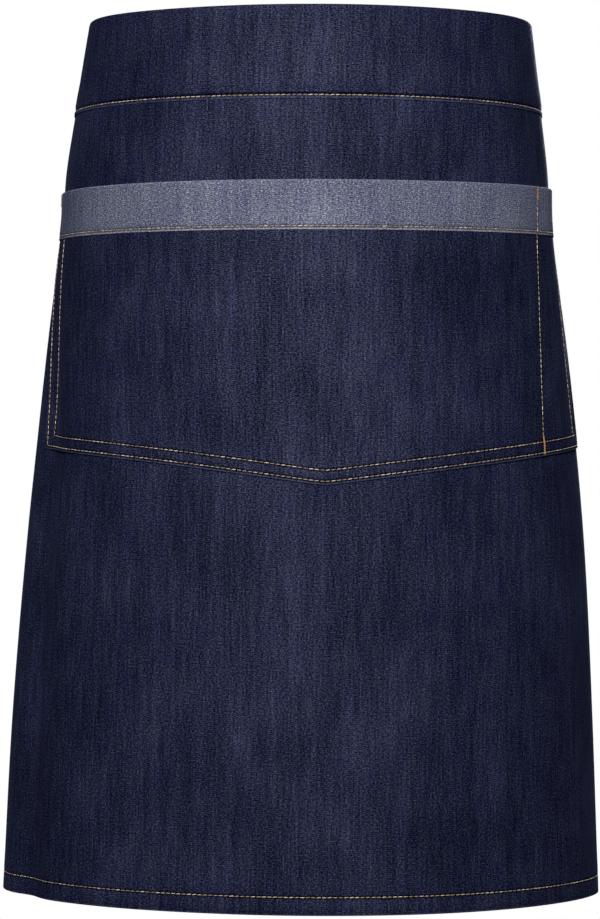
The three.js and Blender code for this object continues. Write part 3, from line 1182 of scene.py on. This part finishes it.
tie_stitching = new_stitching()
for name, side in (("left", 1), ("right", -1)):
    tie_end = back_arc(TIE_DOWN) - KNOT_WIDTH / 2 + 3 * MM

    def tie_place(arc, across, out, side=side, tie_end=tie_end):
        near = smooth(HALF_WIDTH, tie_end, arc)
        down = TIE_DOWN + across
        drift = near * (back_arc(down) - back_arc(TIE_DOWN))
        gather = 0.7 * MM * near * math.sin(across / (2.6 * MM) + side)
        rise = near * (KNOT_LIFT - TIE_SEAT - TIE_CLOTH / 2)
        lift = TIE_SEAT + TIE_CLOTH / 2 + rise + out + gather
        return on_form(side * (arc + drift), down, lift)

    def tie_width(arc, tie_end=tie_end):
        near = smooth(HALF_WIDTH, tie_end, arc)
        return TIE_WIDTH + (KNOT_HEIGHT * 0.6 - TIE_WIDTH) * near

    start = HALF_WIDTH - TIE_LAP
    tie = strap(
        name + "_tie_strap", spaced([start, HALF_WIDTH, tie_end], 2.5 * MM), tie_place, tie_width
    )
    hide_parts(name + "_tie")

    def tie_face(arc, down):
        return TIE_SEAT + TIE_CLOTH * 0.95

    corners = [
        (start + TIE_SEAM, TIE_DOWN - TIE_WIDTH / 2 + TIE_SEAM),
        (HALF_WIDTH - 3 * MM, TIE_DOWN - TIE_WIDTH / 2 + TIE_SEAM),
        (HALF_WIDTH - 3 * MM, TIE_DOWN + TIE_WIDTH / 2 - TIE_SEAM),
        (start + TIE_SEAM, TIE_DOWN + TIE_WIDTH / 2 - TIE_SEAM),
    ]
    for i in range(4):
        (a, b), (c, d) = corners[i], corners[(i + 1) % 4]
        run = math.hypot(c - a, d - b)
        sew_row(
            tie_stitching,
            lambda s, a=a, b=b, c=c, d=d, run=run, side=side: (
                side * (a + (c - a) * s / run),
                b + (d - b) * s / run,
            ),
            run,
            tie_face,
        )

tail_start = TIE_DOWN + KNOT_HEIGHT / 2 - 3 * MM
for name, side in (("left", -1), ("right", 1)):

    def tail_middle(down, side=side):
        fallen = (down - tail_start) / TAIL_LENGTH
        opened = smooth(0, 40 * MM, down - tail_start)
        hung = TIE_WIDTH / 2 + (TAIL_SPREAD - TIE_WIDTH / 2) * fallen
        return side * (TAIL_PINCH / 2 + (hung - TAIL_PINCH / 2) * opened)

    def tail_lift(down):
        seat = TIE_SEAT + TIE_CLOTH / 2 + FOLD_DEPTH
        fall = smooth(0, 60 * MM, down - tail_start)
        return KNOT_LIFT + (seat - KNOT_LIFT) * fall

    def tail_place(down, across, out, side=side):
        opened = smooth(0, 55 * MM, down - tail_start)
        gather = 1.1 * MM * (1 - opened) * math.cos(across / (2.4 * MM) + side)
        sway = 1.2 * MM * math.sin((down - tail_start) / (38 * MM) + 1.3 * side)
        cup = -0.012 * across * across / MM * opened
        lift = tail_lift(down) + out + gather + sway * opened + cup
        arc = back_arc(down) + tail_middle(down) + across
        return on_form(arc, down, lift)

    def tail_width(down):
        opened = smooth(0, 40 * MM, down - tail_start)
        return TAIL_PINCH + (TIE_WIDTH - TAIL_PINCH) * opened

    stations = spaced([tail_start, tail_start + TAIL_LENGTH + 3 * MM], 4 * MM)
    tail = strap(name + "_tie_tail_strap", stations, tail_place, tail_width)
    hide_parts(name + "_tie_tail")
finish_stitching(tie_stitching, "tie_stitching", tan_thread)

# The knot: the two straps wound once round each other and pulled tight. It
# shows as a puckered wrap of denim with the straps running in at its sides.

knot_mesh = bpy.data.meshes.new("tie_knot_wrap")
bm = bmesh.new()
bmesh.ops.create_uvsphere(bm, u_segments=64, v_segments=40, radius=1)
centre = on_form(back_arc(TIE_DOWN), TIE_DOWN, KNOT_LIFT)
inner = on_form(back_arc(TIE_DOWN), TIE_DOWN, 0)
outward = (centre - inner).normalized()
across_axis = Vector((0, 0, 1)).cross(outward).normalized()
upright = outward.cross(across_axis)
turn_to_back = Matrix((across_axis, outward, upright)).transposed()
uv = bm.loops.layers.uv.new("cloth")
to_seam = bm.verts.layers.float.new("to_seam")
to_edge = bm.verts.layers.float.new("to_edge")


def rounded(value, power):
    return math.copysign(abs(value) ** power, value)


def knot_place(direction):
    """A cushion-like lump with two slanting wraps and pinched sides."""
    x, y, z = (rounded(value, 0.72) for value in direction)
    wrap = math.sin(5.2 * (x + 0.55 * z)) * 0.05
    crease = -0.16 * math.exp(-((x - 0.5 * z - 0.1) / 0.13) ** 2)
    pinch = -0.1 * abs(x) ** 4
    swell = 1 + wrap + crease + pinch
    return Vector(
        (
            x * KNOT_WIDTH / 2 * (1 + 0.04 * math.sin(4 * z)),
            y * KNOT_DEPTH / 2 * swell,
            z * KNOT_HEIGHT / 2 * (1 + 0.5 * (wrap + pinch)),
        )
    )


for vertex in bm.verts:
    vertex.co = knot_place(vertex.co.normalized())
    vertex[to_seam] = 9 * MM
    vertex[to_edge] = 9 * MM
for face in bm.faces:
    face.smooth = True
    for loop in face.loops:
        co = loop.vert.co
        loop[uv].uv = (co.x * 0.8 + co.z * 0.6 + co.y, co.z * 0.8 - co.x * 0.6)
bmesh.ops.transform(
    bm, matrix=Matrix.Translation(centre) @ turn_to_back.to_4x4(), verts=bm.verts
)
bmesh.ops.recalc_face_normals(bm, faces=bm.faces)
bm.to_mesh(knot_mesh)
bm.free()
knot = bpy.data.objects.new("tie_knot_wrap", knot_mesh)
bpy.context.collection.objects.link(knot)
knot_mesh.materials.append(indigo_denim)
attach(knot, "root")
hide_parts("tie_knot")

# The studio: a round pale floor inside a plain white tent, a broad soft
# light in front and a little to the left, and a weaker one behind.

floor_mesh = bpy.data.meshes.new("studio_floor")
bm = bmesh.new()
bmesh.ops.create_circle(bm, cap_ends=True, segments=96, radius=3.5)
bmesh.ops.translate(bm, verts=bm.verts, vec=(0, 0, -1.05))
bm.to_mesh(floor_mesh)
bm.free()
studio_floor = bpy.data.objects.new("studio_floor", floor_mesh)
bpy.context.collection.objects.link(studio_floor)
paper = bpy.data.materials.new("matt_white_paper")
paper.use_nodes = True
paper_shader = paper.node_tree.nodes["Principled BSDF"]
paper_shader.inputs["Base Color"].default_value = linear("#f2f2f2")
paper_shader.inputs["Roughness"].default_value = 0.9
paper_shader.inputs["Emission Color"].default_value = linear("#f4f4f4")
paper_shader.inputs["Emission Strength"].default_value = 0.55
studio_floor.visible_diffuse = False
studio_floor.visible_glossy = False
floor_mesh.materials.append(paper)

# The tent only shows as white; the lights alone light the apron.
tent_mesh = bpy.data.meshes.new("studio_tent")
bm = bmesh.new()
bmesh.ops.create_uvsphere(bm, u_segments=48, v_segments=24, radius=9)
bmesh.ops.reverse_faces(bm, faces=bm.faces)
bm.to_mesh(tent_mesh)
bm.free()
studio_tent = bpy.data.objects.new("studio_tent", tent_mesh)
studio_tent.visible_diffuse = False
studio_tent.visible_glossy = False
studio_tent.visible_shadow = False
bpy.context.collection.objects.link(studio_tent)
white = bpy.data.materials.new("white_tent_cloth")
white.use_nodes = True
white.node_tree.nodes.clear()
glow = add_node(
    white.node_tree,
    "ShaderNodeEmission",
    values={"Color": linear("#ffffff"), "Strength": 1.0},
)
add_node(
    white.node_tree,
    "ShaderNodeOutputMaterial",
    links={"Surface": glow.outputs["Emission"]},
)
tent_mesh.materials.append(white)


def soft_light(name, place, aim, size, power, colour):
    lamp = bpy.data.lights.new(name, "AREA")
    lamp.shape = "RECTANGLE"
    lamp.size, lamp.size_y = size
    lamp.energy = power
    lamp.color = linear(colour)[:3]
    light = bpy.data.objects.new(name, lamp)
    light.location = place
    light.rotation_euler = (Vector(aim) - Vector(place)).to_track_quat("-Z", "Y").to_euler()
    light.visible_camera = False
    bpy.context.collection.objects.link(light)


soft_light("front_softbox", (-0.1, -2.2, 0.95), (0, 0, -0.2), (1.0, 1.2), 110, "#ffffff")
soft_light("back_softbox", (0.3, 3.2, 0.9), (0, 0, -0.22), (1.8, 1.6), 140, "#ffffff")

world = bpy.data.worlds.new("studio")
world.use_nodes = True
world.node_tree.nodes["Background"].inputs["Color"].default_value = linear("#eef1f6")
world.node_tree.nodes["Background"].inputs["Strength"].default_value = 0.045
bpy.context.scene.world = world
bpy.context.scene.view_settings.view_transform = "Standard"

# The camera stands square in front at a little over arm's length from the
# hips and looks up by less than a degree, as the photograph was taken.

DISTANCE = 1771 * MM
FOCAL_PX = 3053
PICTURE_HEIGHT = 919
eye = Vector((-6.09 * MM, -DISTANCE, -245.1 * MM))
aim = Vector((-6.09 * MM, 0, -223.3 * MM))
lens = bpy.data.cameras.new("camera")
lens.sensor_fit = "AUTO"
lens.sensor_width = 36
lens.lens = 36 * FOCAL_PX / PICTURE_HEIGHT
lens.clip_end = 100
camera = bpy.data.objects.new("camera", lens)
camera.location = eye
camera.rotation_euler = (aim - eye).to_track_quat("-Z", "Y").to_euler()
bpy.context.collection.objects.link(camera)
bpy.context.scene.camera = camera
